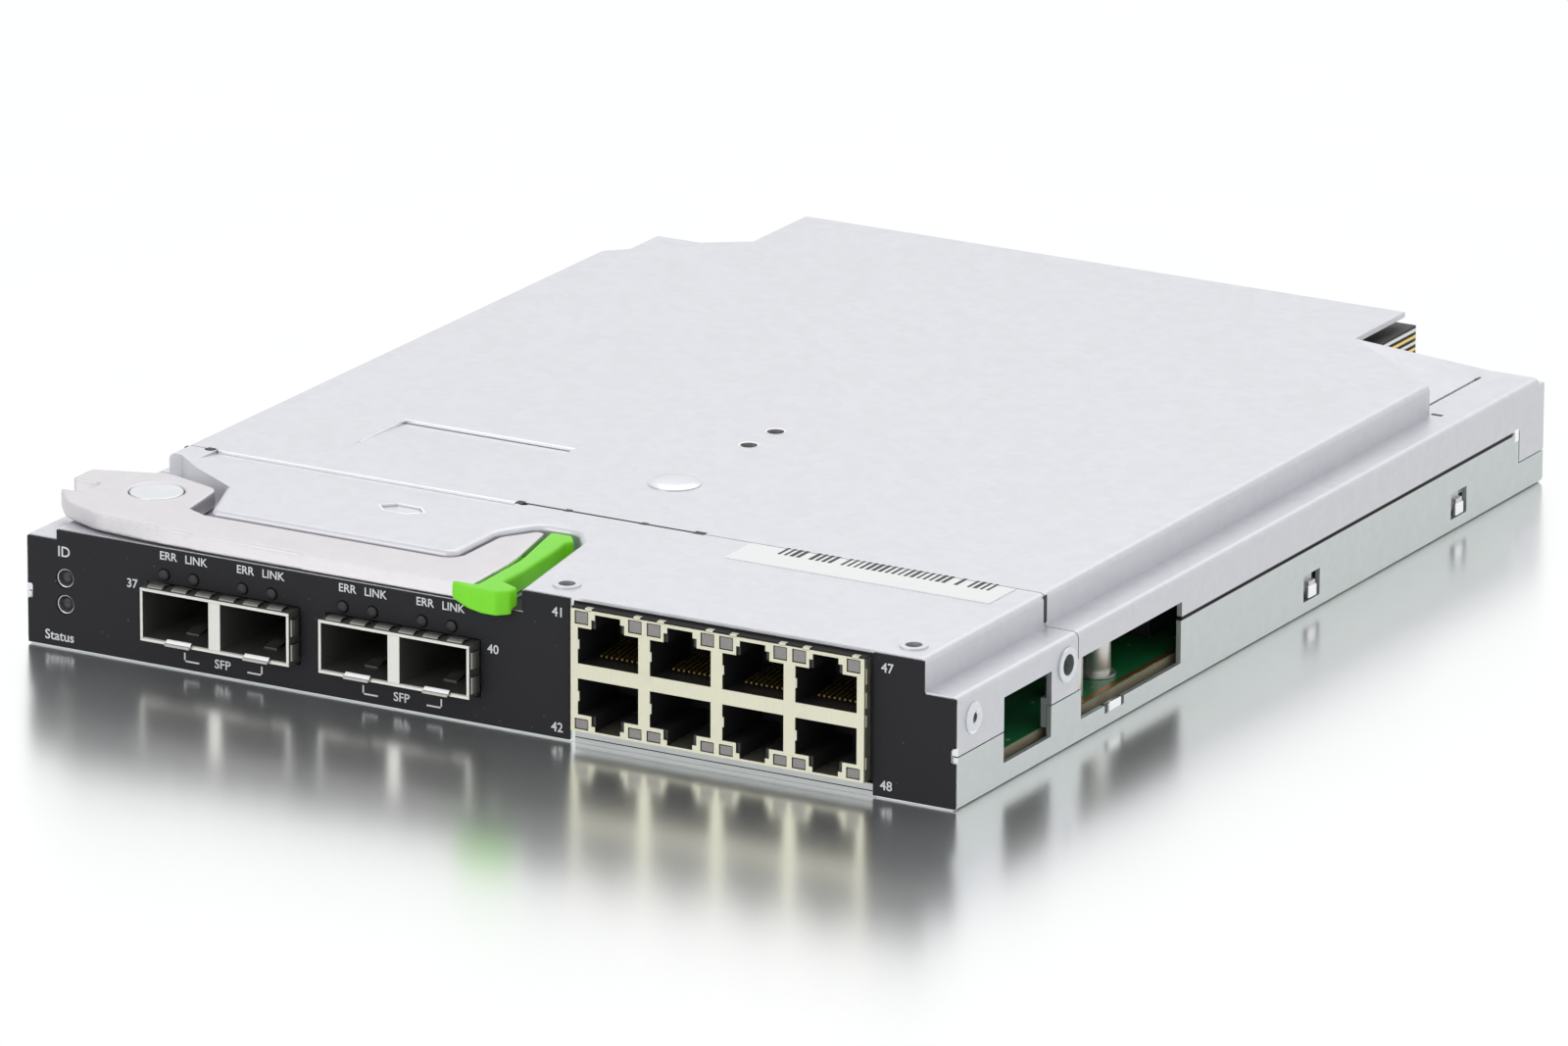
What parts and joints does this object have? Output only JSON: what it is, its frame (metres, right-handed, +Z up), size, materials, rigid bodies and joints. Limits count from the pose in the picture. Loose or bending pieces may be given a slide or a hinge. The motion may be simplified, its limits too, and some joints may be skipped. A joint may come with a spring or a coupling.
{
  "type": "blade switch module",
  "caption": "Flat sheet-metal blade switch module with pluggable cages, a stacked network jack, a swinging ejector lever and a green release latch.",
  "frame": {"origin": "centre of the base tray's underside, on the plane it rests on", "axes": "+X to the right seen from the front, +Y to the rear connectors, +Z up; the front panel faces -Y"},
  "size_m": [0.189, 0.2324, 0.0269],
  "materials": {
    "galvanised": "zinc-coated sheet, fine grain",
    "overlay_black": "matt printed film",
    "lever_steel": "satin nickel plate",
    "rivet_steel": "bright zinc",
    "latch_green": "satin moulded",
    "spring_steel": "plain wire",
    "lamp_dark": "smoked lens",
    "holder_black": "moulded",
    "cage_nickel": "nickel plate",
    "connector_black": "moulded",
    "jack_nickel": "warm nickel plate",
    "jack_plastic": "moulded",
    "jack_lens": "frosted lens",
    "contact_gold": "gold flash",
    "board_green": "solder mask",
    "post_metal": "turned",
    "sticker_white": "matt label",
    "chip_black": "moulded",
    "sink_aluminium": "extruded",
    "coil_grey": "moulded",
    "can_silver": "drawn can"
  },
  "bodies": {
    "chassis": {"base_tray": "galvanised", "front_frame": "galvanised", "front_wall": "galvanised", "main_cover": "galvanised", "front_overlay_left": "overlay_black", "front_overlay_right": "overlay_black", "lever_pivot": "rivet_steel", "lever_washer": "rivet_steel", "side_rivets": "rivet_steel", "side_nuts": "rivet_steel", "cover_stud": "rivet_steel", "board_screws": "rivet_steel", "port_light_pipes": "lamp_dark", "id_lamp": "lamp_dark", "status_lamp": "lamp_dark", "lamp_holder": "holder_black", "lamp_carriers": "holder_black", "sfp_cage_left": "cage_nickel", "sfp_cage_right": "cage_nickel", "cage_fingers_left": "cage_nickel", "cage_fingers_right": "cage_nickel", "sfp_connector_left_1": "connector_black", "sfp_connector_left_2": "connector_black", "sfp_connector_right_1": "connector_black", "sfp_connector_right_2": "connector_black", "midplane_connector_1": "connector_black", "midplane_connector_2": "connector_black", "midplane_connector_3": "connector_black", "power_connector": "connector_black", "jack_shield": "jack_nickel", "jack_face": "jack_nickel", "jack_housing": "jack_plastic", "jack_lamps": "jack_lens", "jack_wires_upper": "contact_gold", "jack_wires_lower": "contact_gold", "power_blades": "contact_gold", "main_board": "board_green", "board_posts": "post_metal", "cover_posts": "post_metal", "plate_sticker": "sticker_white", "switch_chip": "chip_black", "port_chips": "chip_black", "control_chip": "chip_black", "memory_chips": "chip_black", "heat_sink": "sink_aluminium", "power_coils": "coil_grey", "power_capacitors": "can_silver"},
    "lever": {"ejector_lever": "lever_steel", "latch_spring": "spring_steel"},
    "latch": {"release_latch": "latch_green"}
  },
  "joints": [
    {"name": "lever_swing", "type": "hinge", "parent": "chassis", "child": "lever", "pos_m": [-0.0778, -0.0925, 0.0239], "axis": [0, 0, -1], "range_deg": [0, 50]},
    {"name": "latch_slide", "type": "slide", "parent": "lever", "child": "latch", "axis": [-1, 0, 0], "range_m": [0, 0.0008], "stiffness_N_per_m": 600, "springref_m": -0.002, "deforming": ["latch_spring"]}
  ]
}
